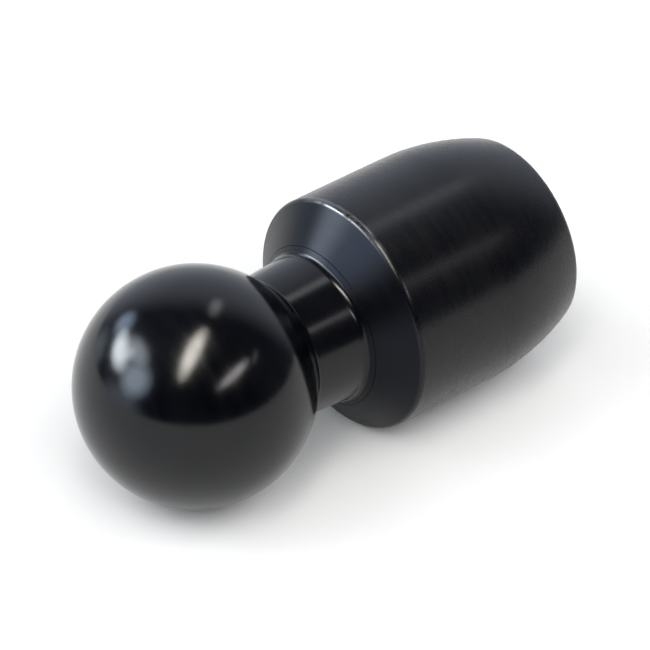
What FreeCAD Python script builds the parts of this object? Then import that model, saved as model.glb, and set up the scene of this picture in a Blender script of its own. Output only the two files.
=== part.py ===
import FreeCAD, Part
import math
import os

# A ball stud rod end whose stud swivels in its barrel.
# The origin is the centre of the ball. +X runs along the axis, from the ball to the threaded socket,
# and +Z is up with the rod end lying on its side. All sizes are in millimetres.

# Outside: ball, neck and barrel
BALL_R = 12.7
NECK_END_X = 16.10  # where the neck would meet the cone if no fillet softened the corner
NECK_END_R = 8.17
NECK_TAPER = math.radians(3.4)  # the neck widens a little from the ball to its foot
BALL_NECK_FILLET = 0.8
NECK_FOOT_FILLET = 0.9
CONE_HALF_ANGLE = math.radians(52.5)
BARREL_R = 13.0
SHOULDER_ROUNDING = 0.7
CROWN_START_X = 32.4
REAR_X = 43.3
REAR_R = 10.8
REAR_CHAMFER = 0.15

# The stud's collar, which carries the dust seal and closes the front of the barrel
COLLAR_R = 8.95
COLLAR_GAP = 0.02
COLLAR_BACK_X = 19.6
LIP_ROUNDING = 0.03
SEAL_GROOVE_X = 17.7
SEAL_GROOVE_WIDTH = 1.2
SEAL_GROOVE_R = 7.8
SEAL_SECTION_R = 0.56

# The stud's shank, with the bearings that it turns in
JOURNAL_R = 5.0
RUNNING_GAP = 0.03
BUSH_R = 6.5
BUSH_CHAMFER = 0.4
WASHER_THICKNESS = 0.8
WASHER_BORE_R = 5.1
WASHER_R = 8.3
AXIAL_PLAY = 0.02
WEB_THICKNESS = 6.0
RING_GROOVE_R = 4.8
RING_GROOVE_WIDTH = 1.1
TAIL_END_X = 31.0
TAIL_CHAMFER = 0.6

# What holds the stud in: a wave spring, a support washer and a retaining ring
SPRING_HEIGHT = 1.0
SPRING_THICKNESS = 0.25
SPRING_BORE_R = 5.4
SPRING_R = 7.9
SPRING_WAVES = 3
SUPPORT_THICKNESS = 0.6
SUPPORT_BORE_R = 5.06
SUPPORT_R = 7.6
RING_THICKNESS = 1.0
RING_R = 6.3
RING_OFFSET = 0.35
RING_GAP_WIDTH = 2.4
RING_EAR_R = 7.9
RING_EAR_WIDTH = 2.6
RING_EAR_HOLE_R = 0.6
RING_EAR_HOLE_AT_R = 6.7
RING_EAR_ANGLE = 23.0

# The rear of the barrel: the screwed-in socket with the thread for the rod
SOCKET_R = 8.5
SOCKET_FRONT_X = 31.6
SOCKET_CHAMFER = 0.3
ROD_THREAD_MINOR_R = 4.188  # M10 x 1.5
ROD_THREAD_COUNTERSINK = 1.0
DISC_R = 6.0
DISC_THICKNESS = 0.8
SPANNER_HOLE_R = 1.1
SPANNER_HOLE_DEPTH = 3.0
SPANNER_HOLE_AT_R = 6.9

# Where the pieces meet along the axis
COLLAR_FRONT_X = NECK_END_X + (COLLAR_R - NECK_END_R) / math.tan(CONE_HALF_ANGLE)
COUNTERBORE_R = COLLAR_R + COLLAR_GAP
LIP_X = NECK_END_X + (COUNTERBORE_R - NECK_END_R) / math.tan(CONE_HALF_ANGLE)
SHOULDER_X = NECK_END_X + (BARREL_R - NECK_END_R) / math.tan(CONE_HALF_ANGLE)
WEB_FRONT_X = COLLAR_BACK_X + WASHER_THICKNESS + AXIAL_PLAY
WEB_BACK_X = WEB_FRONT_X + WEB_THICKNESS
REAR_WASHER_BACK_X = WEB_BACK_X + WASHER_THICKNESS
SPRING_BACK_X = REAR_WASHER_BACK_X + AXIAL_PLAY + SPRING_HEIGHT
SUPPORT_BACK_X = SPRING_BACK_X + SUPPORT_THICKNESS

ALONG = FreeCAD.Vector(1, 0, 0)
CENTRE = FreeCAD.Vector(0, 0, 0)


def at(x, r):
    """A point of a half section: x along the axis, r out from it."""
    return FreeCAD.Vector(x, 0, r)


class Outline:
    """The half section of a turned piece, drawn edge by edge and then turned about the axis."""

    def __init__(self, x, r):
        self.start = at(x, r)
        self.here = self.start
        self.edges = []

    def line(self, x, r):
        self.edges.append(Part.LineSegment(self.here, at(x, r)).toShape())
        self.here = at(x, r)

    def arc(self, middle, end):
        self.edges.append(Part.Arc(self.here, middle, end).toShape())
        self.here = end

    def rounded_corner(self, x, r, radius, next_x, next_r):
        """Go to the corner (x, r) and turn there, on an arc, towards (next_x, next_r)."""
        corner = at(x, r)
        back = (self.here - corner).normalize()
        ahead = (at(next_x, next_r) - corner).normalize()
        half_angle = back.getAngle(ahead) / 2
        tangent = radius / math.tan(half_angle)
        inward = (back + ahead).normalize()
        arc_start = corner + back * tangent
        self.line(arc_start.x, arc_start.z)
        self.arc(corner + inward * (radius / math.sin(half_angle) - radius), corner + ahead * tangent)

    def turned(self):
        if (self.here - self.start).Length > 1e-9:
            self.line(self.start.x, self.start.z)
        return Part.Face(Part.Wire(self.edges)).revolve(CENTRE, ALONG, 360)


def make_ball_stud():
    """Ball, neck, collar and stepped shank, turned from one bar."""
    fillet_r = BALL_NECK_FILLET
    neck_along = at(math.cos(NECK_TAPER), math.sin(NECK_TAPER))
    neck_out = at(-math.sin(NECK_TAPER), math.cos(NECK_TAPER))
    centre_out = neck_out.dot(at(NECK_END_X, NECK_END_R)) + fillet_r
    centre_along = math.sqrt((BALL_R + fillet_r) ** 2 - centre_out**2)
    fillet_centre = neck_out * centre_out + neck_along * centre_along
    ball_end = fillet_centre * (BALL_R / (BALL_R + fillet_r))
    neck_start = fillet_centre - neck_out * fillet_r
    towards_corner = (ball_end + neck_start - fillet_centre * 2).normalize()
    outline = Outline(-BALL_R, 0)
    outline.arc(at(0, BALL_R), ball_end)
    outline.arc(fillet_centre + towards_corner * fillet_r, neck_start)
    outline.rounded_corner(NECK_END_X, NECK_END_R, NECK_FOOT_FILLET, COLLAR_FRONT_X, COLLAR_R)
    outline.line(COLLAR_FRONT_X, COLLAR_R)
    outline.line(SEAL_GROOVE_X, COLLAR_R)
    outline.line(SEAL_GROOVE_X, SEAL_GROOVE_R)
    outline.line(SEAL_GROOVE_X + SEAL_GROOVE_WIDTH, SEAL_GROOVE_R)
    outline.line(SEAL_GROOVE_X + SEAL_GROOVE_WIDTH, COLLAR_R)
    outline.line(COLLAR_BACK_X, COLLAR_R)
    outline.line(COLLAR_BACK_X, JOURNAL_R)
    outline.line(SUPPORT_BACK_X, JOURNAL_R)
    outline.line(SUPPORT_BACK_X, RING_GROOVE_R)
    outline.line(SUPPORT_BACK_X + RING_GROOVE_WIDTH, RING_GROOVE_R)
    outline.line(SUPPORT_BACK_X + RING_GROOVE_WIDTH, JOURNAL_R)
    outline.line(TAIL_END_X - TAIL_CHAMFER, JOURNAL_R)
    outline.line(TAIL_END_X, JOURNAL_R - TAIL_CHAMFER)
    outline.line(TAIL_END_X, 0)
    return outline.turned()


def crown_r(x):
    """Radius of the barrel's crowned rear, an arc that leaves the cylinder with no kink."""
    length = REAR_X - CROWN_START_X
    drop = BARREL_R - REAR_R
    crown_radius = (length**2 + drop**2) / (2 * drop)
    return BARREL_R - crown_radius + math.sqrt(crown_radius**2 - (x - CROWN_START_X) ** 2)


def make_barrel():
    """The outer shell: conical shoulder, cylinder, crowned rear, and a web inside that holds the bush."""
    outline = Outline(WEB_FRONT_X, COUNTERBORE_R)
    outline.rounded_corner(LIP_X, COUNTERBORE_R, LIP_ROUNDING, SHOULDER_X, BARREL_R)
    outline.rounded_corner(SHOULDER_X, BARREL_R, SHOULDER_ROUNDING, CROWN_START_X, BARREL_R)
    outline.line(CROWN_START_X, BARREL_R)
    crown_end_x = REAR_X - REAR_CHAMFER
    crown_middle_x = (CROWN_START_X + crown_end_x) / 2
    outline.arc(at(crown_middle_x, crown_r(crown_middle_x)), at(crown_end_x, crown_r(crown_end_x)))
    outline.line(REAR_X, crown_r(crown_end_x) - REAR_CHAMFER)
    outline.line(REAR_X, SOCKET_R + SOCKET_CHAMFER)
    outline.line(REAR_X - SOCKET_CHAMFER, SOCKET_R)
    outline.line(WEB_BACK_X, SOCKET_R)
    outline.line(WEB_BACK_X, BUSH_R)
    outline.line(WEB_FRONT_X, BUSH_R)
    return outline.turned()


def make_journal_bush():
    """Plain bronze bush, pressed into the barrel's web, with chamfered mouths."""
    bore_r = JOURNAL_R + RUNNING_GAP
    outline = Outline(WEB_FRONT_X, BUSH_R)
    outline.line(WEB_BACK_X, BUSH_R)
    outline.line(WEB_BACK_X, bore_r + BUSH_CHAMFER)
    outline.line(WEB_BACK_X - BUSH_CHAMFER, bore_r)
    outline.line(WEB_FRONT_X + BUSH_CHAMFER, bore_r)
    outline.line(WEB_FRONT_X, bore_r + BUSH_CHAMFER)
    return outline.turned()


def make_washer(front_x, thickness, bore_r, outer_r):
    outline = Outline(front_x, bore_r)
    outline.line(front_x, outer_r)
    outline.line(front_x + thickness, outer_r)
    outline.line(front_x + thickness, bore_r)
    return outline.turned()


def make_dust_seal():
    """O-ring in the collar's groove. It just clears the wall of the barrel's counterbore."""
    seal_centre_r = (SEAL_GROOVE_R + COUNTERBORE_R) / 2
    seal_centre = FreeCAD.Vector(SEAL_GROOVE_X + SEAL_GROOVE_WIDTH / 2, 0, 0)
    return Part.makeTorus(seal_centre_r, SEAL_SECTION_R, seal_centre, ALONG)


def make_wave_spring():
    """Thin washer waved along the axis, built from its four closed wavy edges."""
    middle_x = SPRING_BACK_X - SPRING_HEIGHT / 2
    amplitude = (SPRING_HEIGHT - SPRING_THICKNESS) / 2
    points_per_wave = 8
    count = SPRING_WAVES * points_per_wave

    def wavy_edge(radius, side):
        points = []
        for i in range(count):
            angle = 2 * math.pi * i / count
            x = middle_x + amplitude * math.cos(SPRING_WAVES * angle) + side * SPRING_THICKNESS / 2
            points.append(FreeCAD.Vector(x, radius * math.cos(angle), radius * math.sin(angle)))
        curve = Part.BSplineCurve()
        curve.interpolate(points, True)
        return curve.toShape()

    inner_front = wavy_edge(SPRING_BORE_R, -1)
    inner_back = wavy_edge(SPRING_BORE_R, 1)
    outer_front = wavy_edge(SPRING_R, -1)
    outer_back = wavy_edge(SPRING_R, 1)
    faces = [
        Part.makeRuledSurface(inner_front, outer_front),
        Part.makeRuledSurface(outer_front, outer_back),
        Part.makeRuledSurface(outer_back, inner_back),
        Part.makeRuledSurface(inner_back, inner_front),
    ]
    shell = Part.makeShell(faces)
    shell.sewShape()
    spring = Part.makeSolid(shell)
    if spring.Volume < 0:
        spring.reverse()
    return spring


def make_retaining_ring():
    """External ring with two pliers ears, sprung into the groove at the end of the shank."""
    face = FreeCAD.Vector(SUPPORT_BACK_X, 0, 0)
    ring = Part.makeCylinder(RING_R, RING_THICKNESS, face - FreeCAD.Vector(0, 0, RING_OFFSET), ALONG)
    ear_holes = []
    for side in (-1, 1):
        ear_inner_r = (RING_GROOVE_R + RING_R) / 2
        corner = FreeCAD.Vector(SUPPORT_BACK_X, -RING_EAR_WIDTH / 2, ear_inner_r)
        ear = Part.makeBox(RING_THICKNESS, RING_EAR_WIDTH, RING_EAR_R - ear_inner_r, corner)
        hole_centre = FreeCAD.Vector(SUPPORT_BACK_X, 0, RING_EAR_HOLE_AT_R)
        hole = Part.makeCylinder(RING_EAR_HOLE_R, RING_THICKNESS, hole_centre, ALONG)
        for shape in (ear, hole):
            shape.rotate(CENTRE, ALONG, side * RING_EAR_ANGLE)
        ring = ring.fuse(ear)
        ear_holes.append(hole)
    gap_corner = FreeCAD.Vector(SUPPORT_BACK_X, -RING_GAP_WIDTH / 2, 0)
    gap = Part.makeBox(RING_THICKNESS, RING_GAP_WIDTH, RING_EAR_R + RING_R, gap_corner)
    bore = Part.makeCylinder(RING_GROOVE_R, RING_THICKNESS, face, ALONG)
    return ring.cut([bore, gap] + ear_holes).removeSplitter()


def make_rod_socket():
    """Screwed plug that closes the barrel and carries the female thread for the rod."""
    outline = Outline(SOCKET_FRONT_X, SOCKET_R - SOCKET_CHAMFER)
    outline.line(SOCKET_FRONT_X + SOCKET_CHAMFER, SOCKET_R)
    outline.line(REAR_X - SOCKET_CHAMFER, SOCKET_R)
    outline.line(REAR_X, SOCKET_R - SOCKET_CHAMFER)
    outline.line(REAR_X, ROD_THREAD_MINOR_R + ROD_THREAD_COUNTERSINK)
    outline.line(REAR_X - ROD_THREAD_COUNTERSINK, ROD_THREAD_MINOR_R)
    outline.line(SOCKET_FRONT_X + DISC_THICKNESS, ROD_THREAD_MINOR_R)
    outline.line(SOCKET_FRONT_X + DISC_THICKNESS, DISC_R)
    outline.line(SOCKET_FRONT_X, DISC_R)
    socket = outline.turned()
    for side in (-1, 1):
        hole_start = FreeCAD.Vector(REAR_X - SPANNER_HOLE_DEPTH, side * SPANNER_HOLE_AT_R, 0)
        socket = socket.cut(Part.makeCylinder(SPANNER_HOLE_R, SPANNER_HOLE_DEPTH, hole_start, ALONG))
    return socket


def make_grease_disc():
    """Disc pressed into the front of the socket. It keeps the grease out of the rod thread."""
    return Part.makeCylinder(DISC_R, DISC_THICKNESS, FreeCAD.Vector(SOCKET_FRONT_X, 0, 0), ALONG)


def make_parts():
    front_washer_x = COLLAR_BACK_X + AXIAL_PLAY
    return {
        "ball_stud": make_ball_stud(),
        "barrel": make_barrel(),
        "journal_bush": make_journal_bush(),
        "front_thrust_washer": make_washer(front_washer_x, WASHER_THICKNESS, WASHER_BORE_R, WASHER_R),
        "rear_thrust_washer": make_washer(WEB_BACK_X, WASHER_THICKNESS, WASHER_BORE_R, WASHER_R),
        "dust_seal": make_dust_seal(),
        "wave_spring": make_wave_spring(),
        "support_washer": make_washer(SPRING_BACK_X, SUPPORT_THICKNESS, SUPPORT_BORE_R, SUPPORT_R),
        "retaining_ring": make_retaining_ring(),
        "rod_socket": make_rod_socket(),
        "grease_disc": make_grease_disc(),
    }


os.makedirs("parts", exist_ok=True)
for name, shape in make_parts().items():
    if not shape.isValid() or shape.Volume <= 0 or len(shape.Solids) != 1:
        raise ValueError(f"{name} is not one sound solid")
    shape.exportStep(f"parts/{name}.step")
    print(f"{name}: {shape.Volume:.2f} mm3")
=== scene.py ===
import math

import bmesh
import bpy
from mathutils import Matrix, Vector


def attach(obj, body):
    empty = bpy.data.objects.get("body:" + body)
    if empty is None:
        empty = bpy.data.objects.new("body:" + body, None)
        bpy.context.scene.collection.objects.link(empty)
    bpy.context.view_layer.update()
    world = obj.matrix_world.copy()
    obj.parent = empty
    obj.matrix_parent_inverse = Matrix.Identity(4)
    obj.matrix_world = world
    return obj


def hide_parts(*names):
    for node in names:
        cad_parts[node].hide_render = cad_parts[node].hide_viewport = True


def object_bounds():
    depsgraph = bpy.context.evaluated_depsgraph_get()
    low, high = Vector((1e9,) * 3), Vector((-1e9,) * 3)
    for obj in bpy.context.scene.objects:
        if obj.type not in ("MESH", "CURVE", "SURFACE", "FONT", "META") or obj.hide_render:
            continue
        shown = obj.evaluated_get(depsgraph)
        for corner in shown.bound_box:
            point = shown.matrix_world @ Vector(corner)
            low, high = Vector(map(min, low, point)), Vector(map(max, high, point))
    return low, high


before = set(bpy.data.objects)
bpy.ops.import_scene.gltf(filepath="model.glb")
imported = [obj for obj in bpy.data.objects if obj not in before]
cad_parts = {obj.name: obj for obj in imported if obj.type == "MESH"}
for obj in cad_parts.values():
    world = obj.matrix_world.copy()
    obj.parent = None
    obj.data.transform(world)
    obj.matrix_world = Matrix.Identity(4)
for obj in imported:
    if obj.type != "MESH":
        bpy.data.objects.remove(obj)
cad_low, cad_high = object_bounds()

# The frame is the CAD's: metres, origin at the ball's centre, +X along the axis towards the rod,
# +Z up. The sizes below are in millimetres, and the same as the CAD's.
MM = 0.001
MICRON = 1e-6

# Outside
BALL_R = 12.7
NECK_END_X = 16.10
NECK_END_R = 8.17
NECK_TAPER = math.radians(3.4)
BALL_NECK_FILLET = 0.8
NECK_FOOT_FILLET = 0.9
CONE_HALF_ANGLE = math.radians(52.5)
BARREL_R = 13.0
SHOULDER_ROUNDING = 0.7
CROWN_START_X = 32.4
REAR_X = 43.3
REAR_R = 10.8
REAR_CHAMFER = 0.15

# Collar, seal groove and shank
COLLAR_R = 8.95
COLLAR_GAP = 0.02
COLLAR_BACK_X = 19.6
LIP_ROUNDING = 0.03
SEAL_GROOVE_X = 17.7
SEAL_GROOVE_WIDTH = 1.2
SEAL_GROOVE_R = 7.8
JOURNAL_R = 5.0
WASHER_THICKNESS = 0.8
AXIAL_PLAY = 0.02
WEB_THICKNESS = 6.0
BUSH_R = 6.5
SPRING_HEIGHT = 1.0
SUPPORT_THICKNESS = 0.6
RING_GROOVE_R = 4.8
RING_GROOVE_WIDTH = 1.1
TAIL_END_X = 31.0
TAIL_CHAMFER = 0.6

# Rod socket, with its M10 x 1.5 thread
SOCKET_R = 8.5
SOCKET_FRONT_X = 31.6
SOCKET_CHAMFER = 0.3
DISC_R = 6.0
DISC_THICKNESS = 0.8
THREAD_MINOR_R = 4.188
THREAD_MAJOR_R = 5.0
THREAD_PITCH = 1.5
THREAD_COUNTERSINK = 1.0
THREAD_FLANK_ANGLE = math.radians(30)
THREAD_ROOT_HALF = 1 / 16  # half of the flat at the root, as a share of the pitch
THREAD_START = 0.3  # from the grease disc to where the thread begins to deepen
SPANNER_HOLE_R = 1.1
SPANNER_HOLE_DEPTH = 3.0
SPANNER_HOLE_AT_R = 6.9
SPANNER_HOLE_CHAMFER = 0.2
DRILL_TIP_HALF_ANGLE = math.radians(59)

# A corner that the CAD leaves sharp is broken by this much
BROKEN_EDGE = 0.1

COLLAR_FRONT_X = NECK_END_X + (COLLAR_R - NECK_END_R) / math.tan(CONE_HALF_ANGLE)
COUNTERBORE_R = COLLAR_R + COLLAR_GAP
LIP_X = NECK_END_X + (COUNTERBORE_R - NECK_END_R) / math.tan(CONE_HALF_ANGLE)
SHOULDER_X = NECK_END_X + (BARREL_R - NECK_END_R) / math.tan(CONE_HALF_ANGLE)
WEB_FRONT_X = COLLAR_BACK_X + WASHER_THICKNESS + AXIAL_PLAY
WEB_BACK_X = WEB_FRONT_X + WEB_THICKNESS
SUPPORT_BACK_X = WEB_BACK_X + WASHER_THICKNESS + AXIAL_PLAY + SPRING_HEIGHT + SUPPORT_THICKNESS

# Meshing
SEGMENTS = 256  # round the axis
SOCKET_SEGMENTS = 160
CUTTER_SEGMENTS = 64
CROWN_STEPS = 28
THREAD_ROWS = 180
SHARP_ANGLE = math.radians(32)
SAME_POINT = 1e-6  # millimetres
MERGE_DISTANCE = 1e-8  # metres
CUT_MERGE_DISTANCE = 1e-7  # metres, once the spanner holes are cut


# ---------------------------------------------------------------- turned shapes

class Outline:
    """Half section of a turned piece, as closely spaced points (x, r) in millimetres."""

    SUPPORT = 0.05  # extra points this far from a corner keep the shading of a straight run even
    LONGEST_STEP = 1.5
    ARC_STEP = math.radians(1.5)

    def __init__(self, x, r):
        self.points = [Vector((x, r))]

    def line(self, x, r):
        start, end = self.points[-1], Vector((x, r))
        length = (end - start).length
        steps = max(1, math.ceil(length / self.LONGEST_STEP))
        stops = {i / steps for i in range(1, steps)}
        if length > 5 * self.SUPPORT:
            stops |= {self.SUPPORT / length, 1 - self.SUPPORT / length}
        for stop in sorted(stops):
            self.points.append(start.lerp(end, stop))
        self.points.append(end)

    def arc(self, centre, end, least_steps=6):
        """The shorter way round centre, from the last point to end."""
        centre, end = Vector(centre), Vector(end)
        start = self.points[-1] - centre
        stop = end - centre
        sweep = math.atan2(start.cross(stop), start.dot(stop))
        steps = max(least_steps, math.ceil(abs(sweep) / self.ARC_STEP))
        for i in range(1, steps):
            angle = sweep * i / steps
            turned = Vector((
                start.x * math.cos(angle) - start.y * math.sin(angle),
                start.x * math.sin(angle) + start.y * math.cos(angle),
            ))
            self.points.append(centre + turned)
        self.points.append(end)

    def corner(self, x, r, radius, next_x, next_r):
        """Go to the corner (x, r) and turn there, on an arc, towards (next_x, next_r)."""
        corner = Vector((x, r))
        back = (self.points[-1] - corner).normalized()
        ahead = (Vector((next_x, next_r)) - corner).normalized()
        half_angle = back.angle(ahead) / 2
        tangent = radius / math.tan(half_angle)
        self.line(*(corner + back * tangent))
        centre = corner + (back + ahead).normalized() * (radius / math.sin(half_angle))
        self.arc(centre, corner + ahead * tangent)


def make_object(name, mesh):
    piece = bpy.data.objects.new(name, mesh)
    bpy.context.scene.collection.objects.link(piece)
    return piece


def finish_mesh(mesh, merge=MERGE_DISTANCE):
    """Clean the mesh, turn its faces outwards and shade it smooth up to its real edges."""
    work = bmesh.new()
    work.from_mesh(mesh)
    bmesh.ops.remove_doubles(work, verts=work.verts, dist=merge)
    bmesh.ops.dissolve_degenerate(work, edges=work.edges, dist=merge)
    bmesh.ops.recalc_face_normals(work, faces=work.faces)
    work.to_mesh(mesh)
    work.free()
    mesh.shade_smooth()
    mesh.set_sharp_from_angle(angle=SHARP_ANGLE)
    mesh.update()


def turned_mesh(name, points, closed, segments=SEGMENTS):
    """Turn a half section about the X axis. An open one starts and ends on the axis."""
    verts, rings = [], []
    for x, r in points:
        if r < SAME_POINT:
            rings.append([len(verts)] * segments)
            verts.append((x * MM, 0, 0))
            continue
        rings.append([len(verts) + j for j in range(segments)])
        for j in range(segments):
            angle = 2 * math.pi * j / segments
            verts.append((x * MM, r * math.cos(angle) * MM, r * math.sin(angle) * MM))
    faces = []
    following = rings[1:] + rings[:1] if closed else rings[1:]
    for ring, after in zip(rings, following):
        for j in range(segments):
            k = (j + 1) % segments
            face = list(dict.fromkeys((ring[j], after[j], after[k], ring[k])))
            if len(face) > 2:
                faces.append(face)
    mesh = bpy.data.meshes.new(name)
    mesh.from_pydata(verts, [], faces)
    return mesh


def turned(name, outline, closed=True):
    points = outline.points
    if closed and (points[0] - points[-1]).length < SAME_POINT:
        points = points[:-1]
    mesh = turned_mesh(name, points, closed)
    finish_mesh(mesh)
    return make_object(name, mesh)


# ---------------------------------------------------------------- the pieces

def make_ball_stud():
    """Ball, neck, collar and stepped shank."""
    neck_along = Vector((math.cos(NECK_TAPER), math.sin(NECK_TAPER)))
    neck_out = Vector((-math.sin(NECK_TAPER), math.cos(NECK_TAPER)))
    centre_out = neck_out.dot(Vector((NECK_END_X, NECK_END_R))) + BALL_NECK_FILLET
    centre_along = math.sqrt((BALL_R + BALL_NECK_FILLET) ** 2 - centre_out**2)
    fillet_centre = neck_out * centre_out + neck_along * centre_along
    ball_end = fillet_centre * (BALL_R / (BALL_R + BALL_NECK_FILLET))
    outline = Outline(-BALL_R, 0)
    outline.arc((0, 0), ball_end)
    outline.arc(fillet_centre, fillet_centre - neck_out * BALL_NECK_FILLET)
    outline.corner(NECK_END_X, NECK_END_R, NECK_FOOT_FILLET, COLLAR_FRONT_X, COLLAR_R)
    outline.corner(COLLAR_FRONT_X, COLLAR_R, LIP_ROUNDING / 2, SEAL_GROOVE_X, COLLAR_R)
    outline.corner(SEAL_GROOVE_X, COLLAR_R, BROKEN_EDGE, SEAL_GROOVE_X, SEAL_GROOVE_R)
    outline.line(SEAL_GROOVE_X, SEAL_GROOVE_R)
    outline.line(SEAL_GROOVE_X + SEAL_GROOVE_WIDTH, SEAL_GROOVE_R)
    outline.corner(
        SEAL_GROOVE_X + SEAL_GROOVE_WIDTH, COLLAR_R, BROKEN_EDGE, COLLAR_BACK_X, COLLAR_R
    )
    outline.corner(COLLAR_BACK_X, COLLAR_R, BROKEN_EDGE, COLLAR_BACK_X, JOURNAL_R)
    outline.line(COLLAR_BACK_X, JOURNAL_R)
    outline.corner(SUPPORT_BACK_X, JOURNAL_R, BROKEN_EDGE / 2, SUPPORT_BACK_X, RING_GROOVE_R)
    outline.line(SUPPORT_BACK_X, RING_GROOVE_R)
    outline.line(SUPPORT_BACK_X + RING_GROOVE_WIDTH, RING_GROOVE_R)
    outline.corner(
        SUPPORT_BACK_X + RING_GROOVE_WIDTH, JOURNAL_R, BROKEN_EDGE / 2, TAIL_END_X, JOURNAL_R
    )
    outline.corner(
        TAIL_END_X - TAIL_CHAMFER, JOURNAL_R, BROKEN_EDGE, TAIL_END_X, JOURNAL_R - TAIL_CHAMFER
    )
    outline.corner(TAIL_END_X, JOURNAL_R - TAIL_CHAMFER, BROKEN_EDGE, TAIL_END_X, 0)
    outline.line(TAIL_END_X, 0)
    return turned("ball_stud_turned", outline, closed=False)


def make_barrel():
    """Outer shell: conical shoulder, cylinder, crowned rear, and the web that holds the bush."""
    length = REAR_X - CROWN_START_X
    drop = BARREL_R - REAR_R
    crown_radius = (length**2 + drop**2) / (2 * drop)
    crown_centre = Vector((CROWN_START_X, BARREL_R - crown_radius))
    rim_x = REAR_X - REAR_CHAMFER
    rim_r = crown_centre.y + math.sqrt(crown_radius**2 - (rim_x - CROWN_START_X) ** 2)
    outline = Outline(WEB_FRONT_X, COUNTERBORE_R)
    outline.corner(LIP_X, COUNTERBORE_R, LIP_ROUNDING, SHOULDER_X, BARREL_R)
    outline.corner(SHOULDER_X, BARREL_R, SHOULDER_ROUNDING, CROWN_START_X, BARREL_R)
    outline.line(CROWN_START_X, BARREL_R)
    outline.arc(crown_centre, (rim_x, rim_r), least_steps=CROWN_STEPS)
    outline.corner(
        REAR_X, rim_r - REAR_CHAMFER, BROKEN_EDGE, REAR_X, SOCKET_R + SOCKET_CHAMFER
    )
    outline.line(REAR_X, SOCKET_R + SOCKET_CHAMFER)
    outline.line(REAR_X - SOCKET_CHAMFER, SOCKET_R)
    outline.line(WEB_BACK_X, SOCKET_R)
    outline.corner(WEB_BACK_X, BUSH_R, BROKEN_EDGE, WEB_FRONT_X, BUSH_R)
    outline.corner(WEB_FRONT_X, BUSH_R, BROKEN_EDGE, WEB_FRONT_X, COUNTERBORE_R)
    outline.line(WEB_FRONT_X, COUNTERBORE_R)
    return turned("barrel_turned", outline)


def thread_r(x, turn):
    """Radius of the rod thread's wall at x, at a part of a turn round the axis."""
    height = THREAD_MAJOR_R - THREAD_MINOR_R
    flank = height * math.tan(THREAD_FLANK_ANGLE) / THREAD_PITCH
    phase = abs(((x / THREAD_PITCH - turn + 0.5) % 1) - 0.5)
    depth = min(1, max(0, 1 - (phase - THREAD_ROOT_HALF) / flank))
    run_out = (x - SOCKET_FRONT_X - DISC_THICKNESS - THREAD_START) / THREAD_PITCH
    cone_r = THREAD_MINOR_R + THREAD_COUNTERSINK - (REAR_X - x)
    return max(THREAD_MINOR_R + height * depth * min(1, max(0, run_out)), cone_r)


def make_rod_socket():
    """Screwed plug: a real helical thread in its bore, and two holes for a pin spanner."""
    bore_start = SOCKET_FRONT_X + DISC_THICKNESS
    mesh = bpy.data.meshes.new("rod_socket_threaded")
    work = bmesh.new()
    outline = Outline(bore_start, THREAD_MINOR_R)
    outline.line(bore_start, DISC_R)
    outline.line(SOCKET_FRONT_X, DISC_R)
    outline.line(SOCKET_FRONT_X, SOCKET_R - SOCKET_CHAMFER)
    outline.line(SOCKET_FRONT_X + SOCKET_CHAMFER, SOCKET_R)
    outline.line(REAR_X - SOCKET_CHAMFER, SOCKET_R)
    outline.line(REAR_X, SOCKET_R - SOCKET_CHAMFER)
    outline.line(REAR_X, THREAD_MINOR_R + THREAD_COUNTERSINK)

    def ring(x, r_at):
        """Vertices once round the axis at x, where r_at gives the radius at a part of a turn."""
        out = []
        for j in range(SOCKET_SEGMENTS):
            angle = 2 * math.pi * j / SOCKET_SEGMENTS
            r = r_at(j / SOCKET_SEGMENTS)
            out.append(work.verts.new((x * MM, r * math.cos(angle) * MM, r * math.sin(angle) * MM)))
        return out

    rings = [ring(x, lambda turn, r=r: r) for x, r in outline.points]
    for i in range(1, THREAD_ROWS):
        x = REAR_X + (bore_start - REAR_X) * i / THREAD_ROWS
        rings.append(ring(x, lambda turn, x=x: thread_r(x, turn)))
    for ring_a, ring_b in zip(rings, rings[1:] + rings[:1]):
        for j in range(SOCKET_SEGMENTS):
            k = (j + 1) % SOCKET_SEGMENTS
            work.faces.new((ring_a[j], ring_b[j], ring_b[k], ring_a[k]))
    bmesh.ops.recalc_face_normals(work, faces=work.faces)
    work.to_mesh(mesh)
    work.free()
    socket = make_object("rod_socket_threaded", mesh)

    for side in (-1, 1):
        drill = Outline(REAR_X - SPANNER_HOLE_DEPTH, 0)
        tip = SPANNER_HOLE_R / math.tan(DRILL_TIP_HALF_ANGLE)
        drill.line(REAR_X - SPANNER_HOLE_DEPTH + tip, SPANNER_HOLE_R)
        drill.line(REAR_X - SPANNER_HOLE_CHAMFER, SPANNER_HOLE_R)
        drill.line(REAR_X + SPANNER_HOLE_CHAMFER, SPANNER_HOLE_R + 2 * SPANNER_HOLE_CHAMFER)
        drill.line(REAR_X + SPANNER_HOLE_CHAMFER, 0)
        cutter_mesh = turned_mesh("cutter", drill.points, closed=False, segments=CUTTER_SEGMENTS)
        cutter_mesh.transform(Matrix.Translation((0, side * SPANNER_HOLE_AT_R * MM, 0)))
        finish_mesh(cutter_mesh)
        cutter = make_object("cutter", cutter_mesh)
        cut = socket.modifiers.new("cut", "BOOLEAN")
        cut.operation = "DIFFERENCE"
        cut.solver = "EXACT"
        cut.object = cutter
        bpy.context.view_layer.update()
        result = bpy.data.meshes.new_from_object(
            socket.evaluated_get(bpy.context.evaluated_depsgraph_get())
        )
        socket.modifiers.clear()
        socket.data = result
        bpy.data.objects.remove(cutter)
    socket.data.name = "rod_socket_threaded"
    finish_mesh(socket.data, merge=CUT_MERGE_DISTANCE)
    return socket


# ---------------------------------------------------------------- materials

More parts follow.
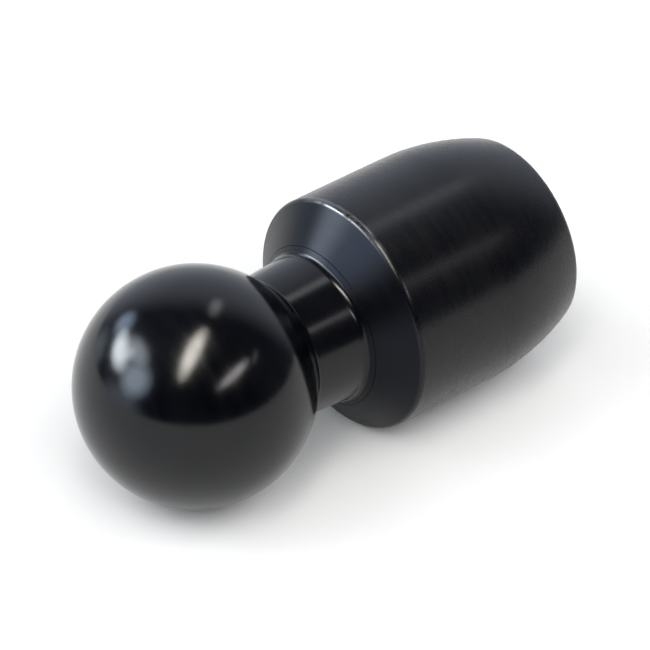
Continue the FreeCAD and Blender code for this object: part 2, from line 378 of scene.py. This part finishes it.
class Nodes:
    """Short calls for the nodes of one material."""

    def __init__(self, name):
        self.material = bpy.data.materials.new(name)
        self.material.use_nodes = True
        self.tree = self.material.node_tree
        self.shader = self.tree.nodes["Principled BSDF"]

    def node(self, kind, inputs=None, **settings):
        made = self.tree.nodes.new(kind)
        for key, value in settings.items():
            setattr(made, key, value)
        for key, value in (inputs or {}).items():
            self.put(made.inputs[key], value)
        return made

    def put(self, socket, value):
        if isinstance(value, bpy.types.NodeSocket):
            self.tree.links.new(value, socket)
        else:
            socket.default_value = value

    def math(self, operation, *values):
        made = self.node("ShaderNodeMath", operation=operation)
        for socket, value in zip(made.inputs, values):
            self.put(socket, value)
        return made.outputs[0]

    def noise(self, vector, scale, detail=2.0, roughness=0.5):
        made = self.node("ShaderNodeTexNoise", {
            "Vector": vector, "Scale": scale, "Detail": detail, "Roughness": roughness,
        })
        return made.outputs["Fac"]

    def noise_1d(self, value, scale, detail=2.0):
        made = self.node(
            "ShaderNodeTexNoise", {"W": value, "Scale": scale, "Detail": detail},
            noise_dimensions="1D",
        )
        return made.outputs["Fac"]

    def ramp(self, value, low, high, to_low=0.0, to_high=1.0):
        made = self.node("ShaderNodeMapRange", interpolation_type="SMOOTHSTEP")
        for socket, setting in zip(made.inputs, (value, low, high, to_low, to_high)):
            self.put(socket, setting)
        return made.outputs["Result"]

    def mix(self, factor, a, b):
        made = self.node("ShaderNodeMix", data_type="RGBA")
        self.put(made.inputs["Factor"], factor)
        self.put(made.inputs["A"], a)
        self.put(made.inputs["B"], b)
        return made.outputs["Result"]

    def add_all(self, *values):
        total = values[0]
        for value in values[1:]:
            total = self.math("ADD", total, value)
        return total

    def scaled(self, value, amount):
        """A 0..1 noise turned into a wobble of that size about nought."""
        return self.math("MULTIPLY", self.math("SUBTRACT", value, 0.5), amount)


def rgb(r, g, b):
    return (r, g, b, 1.0)


def axis_coordinates(nodes):
    """Object position, and its x, z and distance r from the axis, in metres."""
    position = nodes.node("ShaderNodeTexCoord").outputs["Object"]
    split = nodes.node("ShaderNodeSeparateXYZ", {"Vector": position})
    x, y, z = split.outputs
    squares = nodes.math("MULTIPLY", y, y), nodes.math("MULTIPLY", z, z)
    r = nodes.math("SQRT", nodes.math("ADD", *squares))
    return position, x, z, r


# How closely each pattern of the black finish repeats, per metre
TOOL_MARKS = 8500
TOOL_BANDS = 900
MOTTLING = 260
GRAIN = 5200
WEAR_PATCHES = 700

# Brighter, more metallic colour where the black oxide is rubbed: real wear at the thread's mouth,
# and on the shoulder's upper side also a painted highlight that brightens the window's glint
RUBBED_STEEL_AND_GLINT = (0.125, 0.124, 0.122)  # steel showing through worn black oxide; on the shoulder's upper side a painted highlight
RUBBED_ROUGHNESS = 0.21
WEAR_AND_GLINT_FADE = 2 * MM
QUARTER_TURN = 0.25


def black_finish(
    name, roughness, ior, anisotropy, dark, light, along, mark_bump, grain_bump,
    rubbed_edges_and_glints=(), shine=(1, 1, 1),
):
    """Blackened turned metal: fine tool marks round the axis, faint mottling, and rubbed steel at
    the edges listed, which is wear at some and partly a painted highlight at others.

    along(nodes, x, r) gives the place along the outline, in metres, that the tool marks follow.
    The edges to rub are listed as (middle on that line, half width, lowest z), all in metres; one
    kept to the upper side by its lowest z is partly wear, partly a painted highlight.
    shine is the tint of what the finish reflects.
    """
    nodes = Nodes(name)
    position, x, z, r = axis_coordinates(nodes)
    place = along(nodes, x, r)
    marks = nodes.noise_1d(place, TOOL_MARKS, detail=1.0)
    bands = nodes.noise_1d(place, TOOL_BANDS, detail=2.0)
    mottle = nodes.noise(position, MOTTLING, detail=4.0, roughness=0.55)
    grain = nodes.noise(position, GRAIN, detail=2.0, roughness=0.6)

    wear_and_glint = 0.0
    for middle, half_width, lowest in rubbed_edges_and_glints:
        distance = nodes.math("ABSOLUTE", nodes.math("SUBTRACT", place, middle))
        near = nodes.ramp(distance, half_width / 2, half_width, 1.0, 0.0)
        above = nodes.ramp(z, lowest, lowest + WEAR_AND_GLINT_FADE)
        wear_and_glint = nodes.math("MAXIMUM", wear_and_glint, nodes.math("MULTIPLY", near, above))

    blotches = nodes.add_all(mottle, nodes.scaled(grain, 0.5), nodes.scaled(bands, 0.25))
    colour = nodes.mix(nodes.ramp(blotches, 0.3, 0.75), rgb(*dark), rgb(*light))
    rough = nodes.add_all(
        roughness, nodes.scaled(mottle, 0.07), nodes.scaled(bands, 0.05),
        nodes.scaled(marks, 0.04), nodes.scaled(grain, 0.04),
    )
    height = nodes.add_all(
        nodes.math("MULTIPLY", marks, mark_bump), nodes.math("MULTIPLY", grain, grain_bump)
    )
    # Rubbed steel colour and metallic: worn black oxide, and where kept to the upper side by the
    # height limit, a painted highlight on the glint
    if rubbed_edges_and_glints:
        patches = nodes.ramp(nodes.noise(position, WEAR_PATCHES, detail=2.0), 0.30, 0.55)
        rubbed_and_glint = nodes.math("MULTIPLY", wear_and_glint, patches)
        colour = nodes.mix(rubbed_and_glint, colour, rgb(*RUBBED_STEEL_AND_GLINT))
        smoothing = nodes.math("MULTIPLY", wear_and_glint, roughness - RUBBED_ROUGHNESS)
        rough = nodes.math("SUBTRACT", rough, smoothing)
        height = nodes.math("MULTIPLY", height, nodes.math("SUBTRACT", 1.0, wear_and_glint))
        nodes.put(nodes.shader.inputs["Metallic"], rubbed_and_glint)
    bump = nodes.node("ShaderNodeBump", {"Height": height, "Strength": 1.0, "Distance": MICRON})
    nodes.put(nodes.shader.inputs["Base Color"], colour)
    nodes.put(nodes.shader.inputs["Roughness"], rough)
    nodes.put(nodes.shader.inputs["Normal"], bump.outputs["Normal"])
    nodes.put(nodes.shader.inputs["IOR"], ior)
    nodes.put(nodes.shader.inputs["Specular Tint"], rgb(*shine))
    if anisotropy:
        tangent = nodes.node("ShaderNodeTangent", direction_type="RADIAL", axis="X")
        nodes.put(nodes.shader.inputs["Tangent"], tangent.outputs["Tangent"])
        nodes.put(nodes.shader.inputs["Anisotropic"], anisotropy)
        nodes.put(nodes.shader.inputs["Anisotropic Rotation"], QUARTER_TURN)
    return nodes.material


def outline_place(nodes, x, r):
    """A place that moves on along the axis, along a cone and across a flat face."""
    return nodes.math("ADD", x, r)


def ball_place(nodes, x, r):
    """Arc length over the ball, measured from its front."""
    polar = nodes.math("ARCTAN2", r, nodes.math("MULTIPLY", x, -1.0))
    return nodes.math("MULTIPLY", polar, BALL_R * MM)


def metal(name, colour, other, roughness, mark_bump, pores=0.0, pore_colour=(0, 0, 0)):
    """Bare turned metal, with tool marks, patchy colour and, if asked, small dark pores."""
    nodes = Nodes(name)
    position, x, _, r = axis_coordinates(nodes)
    marks = nodes.noise_1d(outline_place(nodes, x, r), 7000, detail=1.0)
    mottle = nodes.noise(position, 420, detail=4.0)
    fine = nodes.noise(position, 3500, detail=3.0, roughness=0.6)
    result = nodes.mix(nodes.ramp(mottle, 0.35, 0.7), rgb(*colour), rgb(*other))
    rough = nodes.add_all(roughness, nodes.scaled(mottle, 0.12), nodes.scaled(marks, 0.1))
    height = nodes.math("MULTIPLY", marks, mark_bump)
    if pores:
        pore = nodes.ramp(fine, 0.52, 0.66)
        result = nodes.mix(nodes.math("MULTIPLY", pore, pores), result, rgb(*pore_colour))
        rough = nodes.math("ADD", rough, nodes.math("MULTIPLY", pore, 0.2))
        height = nodes.math("SUBTRACT", height, nodes.math("MULTIPLY", pore, 3.0))
    bump = nodes.node("ShaderNodeBump", {"Height": height, "Strength": 1.0, "Distance": MICRON})
    nodes.put(nodes.shader.inputs["Base Color"], result)
    nodes.put(nodes.shader.inputs["Roughness"], rough)
    nodes.put(nodes.shader.inputs["Metallic"], 1.0)
    nodes.put(nodes.shader.inputs["Normal"], bump.outputs["Normal"])
    return nodes.material


def rubber(name):
    nodes = Nodes(name)
    position = nodes.node("ShaderNodeTexCoord").outputs["Object"]
    speck = nodes.noise(position, 4000, detail=3.0)
    patch = nodes.noise(position, 500, detail=3.0)
    dark, light = rgb(0.010, 0.010, 0.011), rgb(0.022, 0.022, 0.023)
    colour = nodes.mix(nodes.ramp(patch, 0.3, 0.7), dark, light)
    rough = nodes.add_all(0.62, nodes.scaled(speck, 0.2), nodes.scaled(patch, 0.15))
    bump = nodes.node("ShaderNodeBump", {"Height": speck, "Strength": 1.0, "Distance": 3 * MICRON})
    nodes.put(nodes.shader.inputs["Base Color"], colour)
    nodes.put(nodes.shader.inputs["Roughness"], rough)
    nodes.put(nodes.shader.inputs["Normal"], bump.outputs["Normal"])
    return nodes.material


# ---------------------------------------------------------------- build

ball_stud = make_ball_stud()
barrel = make_barrel()
rod_socket = make_rod_socket()

# Rubbed edges: the mouth of the thread all round, as wear, and the shoulder's on its upper side
# only, where the rubbed steel is partly wear and partly a painted highlight on its glint
SHOULDER_WEAR_AND_GLINT_HALF_WIDTH = 0.6
# The shoulder's rubbed steel stops below this height, so that it brightens only the upper glint: a
# painted highlight
SHOULDER_GLINT_LOWEST_Z = 10.8
MOUTH_WEAR_HALF_WIDTH = 0.3
SHOULDER_WEAR_AND_GLINT = (
    (SHOULDER_X + BARREL_R) * MM, SHOULDER_WEAR_AND_GLINT_HALF_WIDTH * MM, SHOULDER_GLINT_LOWEST_Z * MM,
)
MOUTH_WEAR = (
    (REAR_X + THREAD_MINOR_R + THREAD_COUNTERSINK) * MM, MOUTH_WEAR_HALF_WIDTH * MM, -BARREL_R * MM,
)

SHINING_TONES = dict(dark=(0.0007, 0.0009, 0.0015), light=(0.0016, 0.0018, 0.0026))
SATIN_TONES = dict(dark=(0.0009, 0.0011, 0.0018), light=(0.0024, 0.0026, 0.0034))
SOCKET_TONES = dict(dark=(0.0014, 0.0016, 0.0022), light=(0.0036, 0.0038, 0.0046))
FACED = dict(
    roughness=0.36, ior=1.285, anisotropy=0.8, along=outline_place,
    mark_bump=0.9, grain_bump=0.3, shine=(0.76, 0.81, 1.0), **SATIN_TONES,
)

ball_black = black_finish(
    "ball_black_steel", roughness=0.16, ior=1.39, anisotropy=0.0, along=ball_place,
    mark_bump=0.25, grain_bump=0.15, **SHINING_TONES,
)
neck_black = black_finish(
    "ball_neck_black_steel", roughness=0.19, ior=1.37, anisotropy=0.0, along=outline_place,
    mark_bump=0.4, grain_bump=0.2, **SHINING_TONES,
)
barrel_black = black_finish(
    "barrel_black_steel", roughness=0.28, ior=1.35, anisotropy=0.5, along=outline_place,
    mark_bump=0.8, grain_bump=0.8, rubbed_edges_and_glints=(SHOULDER_WEAR_AND_GLINT,), **SATIN_TONES,
)
cone_black = black_finish("barrel_cone_black_steel", rubbed_edges_and_glints=(SHOULDER_WEAR_AND_GLINT,), **FACED)
collar_black = black_finish("ball_collar_black_steel", **FACED)
socket_black = black_finish(
    "socket_black_steel", roughness=0.36, ior=1.40, anisotropy=0.0, along=outline_place,
    mark_bump=1.0, grain_bump=0.8, rubbed_edges_and_glints=(MOUTH_WEAR,), **SOCKET_TONES,
)
bronze = metal(
    "sintered_bronze", colour=(0.46, 0.25, 0.10), other=(0.58, 0.34, 0.15), roughness=0.34,
    mark_bump=0.6, pores=0.8, pore_colour=(0.09, 0.05, 0.02),
)
spring_steel = metal(
    "oiled_spring_steel", colour=(0.20, 0.20, 0.21), other=(0.30, 0.30, 0.31), roughness=0.28,
    mark_bump=0.5,
)
nitrile = rubber("nitrile_rubber")

for piece, materials in (
    (ball_stud, (ball_black, neck_black, collar_black)),
    (barrel, (barrel_black, cone_black)),
    (rod_socket, (socket_black,)),
):
    for material in materials:
        piece.data.materials.append(material)

# The cone was faced, so it has a finish of its own, up to where the shoulder's rounding begins.
# Inside the counterbore the barrel keeps its own finish.
CONE_END_X = SHOULDER_X - 0.25
CONE_START_R = COUNTERBORE_R + 0.01
for face in barrel.data.polygons:
    before_shoulder = face.center.x < CONE_END_X * MM
    if before_shoulder and Vector(face.center.yz).length > CONE_START_R * MM:
        face.material_index = 1

# The ball alone is polished, as far as the start of its fillet with the neck. The neck is as
# turned, to the end of the fillet at its foot, and the collar's front was faced with the cone.
POLISH_END_R = NECK_END_R - 0.2
NECK_START_X = math.sqrt(BALL_R**2 - POLISH_END_R**2)
FILLET_END_X = NECK_END_X + 0.27 * NECK_FOOT_FILLET
for face in ball_stud.data.polygons:
    if face.center.x > FILLET_END_X * MM:
        face.material_index = 2
    elif face.center.x > NECK_START_X * MM:
        face.material_index = 1

for piece, body, node, slot in (
    (ball_stud, "stud", "ball_stud", "ball_black_steel"),
    (barrel, "barrel", "barrel", "barrel_black_steel"),
    (rod_socket, "barrel", "rod_socket", "socket_black_steel"),
):
    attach(piece, body)
    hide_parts(node)

for node, material in {
    "journal_bush": bronze,
    "front_thrust_washer": bronze,
    "rear_thrust_washer": bronze,
    "dust_seal": nitrile,
    "wave_spring": spring_steel,
    "support_washer": spring_steel,
    "retaining_ring": spring_steel,
    "grease_disc": spring_steel,
}.items():
    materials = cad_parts[node].data.materials
    if materials:
        materials[0] = material
    else:
        materials.append(material)


# ---------------------------------------------------------------- floor, light and camera

def make_floor():
    """A card that the rod end lies on. Its lights are strong, so that its grey comes out white."""
    half = 2.0
    z = cad_low.z
    corners = [(-half, -half, z), (half, -half, z), (half, half, z), (-half, half, z)]
    mesh = bpy.data.meshes.new("floor")
    mesh.from_pydata(corners, [], [(0, 1, 2, 3)])
    floor = make_object("floor", mesh)
    nodes = Nodes("floor_card")
    position = nodes.node("ShaderNodeTexCoord").outputs["Object"]
    shade = nodes.ramp(nodes.noise(position, 30, detail=3.0), 0.3, 0.7)
    card = nodes.mix(shade, rgb(0.098, 0.098, 0.098), rgb(0.102, 0.102, 0.102))
    nodes.put(nodes.shader.inputs["Base Color"], card)
    nodes.put(nodes.shader.inputs["Roughness"], 0.9)
    nodes.put(nodes.shader.inputs["Specular IOR Level"], 0.1)
    mesh.materials.append(nodes.material)
    return floor


def direction(azimuth, elevation):
    """Unit vector. Azimuth is anticlockwise from +X, seen from above."""
    a, e = math.radians(azimuth), math.radians(elevation)
    return Vector((math.cos(e) * math.cos(a), math.cos(e) * math.sin(a), math.sin(e)))


MIDDLE = (cad_low + cad_high) / 2
LIGHT_DISTANCE = 3.0
WATTS_PER_RADIANCE = math.pi  # for each square metre of a flat light
SOFT_STEPS = (1.3, 1.0, 0.7)  # a soft edge is made of nested lights of these sizes
NEST_GAP = 0.01  # between one nested light and the next


def soft_light(name, azimuth, elevation, width, height, radiance, colour, roll=0.0, only_on=None):
    """An oval light that faces the object; width and height are the angles it fills, in degrees.

    only_on is a collection: the light then falls on nothing else, and isn't seen in reflections.
    """
    towards = direction(azimuth, elevation)
    for number, step in enumerate(SOFT_STEPS):
        light = bpy.data.lights.new(f"{name}_{number}", "AREA")
        light.shape = "ELLIPSE"
        light.size = 2 * LIGHT_DISTANCE * math.tan(math.radians(width * step / 2))
        light.size_y = 2 * LIGHT_DISTANCE * math.tan(math.radians(height * step / 2))
        area = math.pi / 4 * light.size * light.size_y
        light.energy = radiance / len(SOFT_STEPS) * area * WATTS_PER_RADIANCE
        light.color = colour
        lamp = bpy.data.objects.new(light.name, light)
        bpy.context.scene.collection.objects.link(lamp)
        lamp.matrix_world = (
            Matrix.Translation(MIDDLE + towards * (LIGHT_DISTANCE + NEST_GAP * number))
            @ towards.to_track_quat("Z", "Y").to_matrix().to_4x4()
            @ Matrix.Rotation(math.radians(roll), 4, "Z")
        )
        lamp.visible_camera = False
        if only_on:
            lamp.visible_glossy = False
            lamp.light_linking.receiver_collection = only_on


def make_world():
    """A dim room with a pale wall behind the object. The camera itself sees plain white."""
    world = bpy.data.worlds.new("studio")
    bpy.context.scene.world = world
    world.use_nodes = True
    tree = world.node_tree
    background = tree.nodes["Background"]

    def node(kind, **settings):
        made = tree.nodes.new(kind)
        for key, value in settings.items():
            setattr(made, key, value)
        return made

    view = node("ShaderNodeTexCoord").outputs["Generated"]

    def lobe(azimuth, elevation, full, none):
        """1 within `full` degrees of a direction, and 0 beyond `none` degrees."""
        dot = node("ShaderNodeVectorMath", operation="DOT_PRODUCT")
        tree.links.new(view, dot.inputs[0])
        dot.inputs[1].default_value = direction(azimuth, elevation)
        fade = node("ShaderNodeMapRange", interpolation_type="SMOOTHSTEP")
        tree.links.new(dot.outputs["Value"], fade.inputs["Value"])
        fade.inputs["From Min"].default_value = math.cos(math.radians(none))
        fade.inputs["From Max"].default_value = math.cos(math.radians(full))
        return fade.outputs["Result"]

    def blend(factor, a, b):
        made = node("ShaderNodeMix", data_type="RGBA")
        tree.links.new(factor, made.inputs["Factor"])
        for key, value in (("A", a), ("B", b)):
            if isinstance(value, tuple):
                made.inputs[key].default_value = value
            else:
                tree.links.new(value, made.inputs[key])
        return made.outputs["Result"]

    room = blend(lobe(-125, 10, 35, 75), rgb(0.085, 0.09, 0.13), rgb(0.006, 0.008, 0.022))
    room = blend(lobe(42, 12, 30, 62), room, rgb(0.88, 0.95, 1.10))
    seen = blend(node("ShaderNodeLightPath").outputs["Is Camera Ray"], room, rgb(1.0, 1.0, 1.0))
    tree.links.new(seen, background.inputs["Color"])
    background.inputs["Strength"].default_value = 1.0


lit_floor = bpy.data.collections.new("lit_floor")
lit_floor.objects.link(make_floor())
make_world()

# Each light's azimuth, elevation, width and height in degrees, its radiance and its colour
soft_light("window", 131, 25, 27, 15, 23.0, (0.90, 1.0, 1.06), roll=-12)
soft_light("window_core", 142, 32.5, 10, 9, 8.5, (0.86, 1.0, 1.12))
soft_light("window_ridge", 145, 40, 27, 13, 7.5, (0.90, 1.0, 1.08), roll=10)
soft_light("window_side", 165, 24, 25, 27, 7.5, (0.84, 1.0, 1.20), roll=-60)
soft_light("window_edge", 106, 27, 14, 18, 4.6, (0.78, 1.0, 1.28), roll=-43)
soft_light("window_sill", 159, 2, 36, 17, 1.5, (0.85, 1.0, 1.15))
soft_light("wall_glow", 110, 3, 20, 18, 1.2, (0.82, 1.0, 1.12))
soft_light("ceiling_strip", -135, 66.3, 44, 11.5, 26.0, (1.04, 1.0, 0.90), roll=71)
soft_light("side_strip", -81.8, 37, 33.5, 7, 9.6, (1.04, 1.0, 1.0), roll=12)
soft_light("side_rail", -48, 34.6, 13, 1.7, 3.6, (1.0, 1.0, 1.0), roll=12)
soft_light("ceiling_patch", 21, 59.5, 20, 7, 3.2, (0.98, 1.0, 1.0), roll=-70)
soft_light("floor_fill", 0, 90, 100, 100, 4.4, (0.98, 1.0, 1.02), only_on=lit_floor)
soft_light("floor_fill_front", -130, 42, 60, 40, 33.0, (1.0, 1.0, 1.0), only_on=lit_floor)
soft_light("floor_fill_left", 145, 50, 44, 28, 25.0, (1.0, 1.0, 1.0), only_on=lit_floor)
soft_light("floor_fill_right", -48, 46, 44, 28, 21.0, (1.0, 1.0, 1.0), only_on=lit_floor)

# The camera's azimuth is anticlockwise from -Y, and it looks a little right of and above the ball
CAMERA_AZIMUTH = math.radians(-40.315)
CAMERA_ELEVATION = math.radians(35.377)
CAMERA_DISTANCE = 0.530
CAMERA_LENS = 285.9
AIM_RIGHT = 0.01332
AIM_UP = 0.006315

camera_data = bpy.data.cameras.new("camera")
camera = bpy.data.objects.new("camera", camera_data)
bpy.context.scene.collection.objects.link(camera)
bpy.context.scene.camera = camera
camera_data.sensor_width = 36
camera_data.lens = CAMERA_LENS
camera_data.clip_start = 0.05
camera_data.clip_end = 20
right = Vector((math.cos(CAMERA_AZIMUTH), math.sin(CAMERA_AZIMUTH), 0))
forward = Vector((
    -math.cos(CAMERA_ELEVATION) * math.sin(CAMERA_AZIMUTH),
    math.cos(CAMERA_ELEVATION) * math.cos(CAMERA_AZIMUTH),
    -math.sin(CAMERA_ELEVATION),
))
up = right.cross(forward)
aim = right * AIM_RIGHT + up * AIM_UP
camera.matrix_world = (
    Matrix.Translation(aim - forward * CAMERA_DISTANCE)
    @ Matrix((right, up, -forward)).transposed().to_4x4()
)

bpy.context.scene.view_settings.view_transform = "Standard"
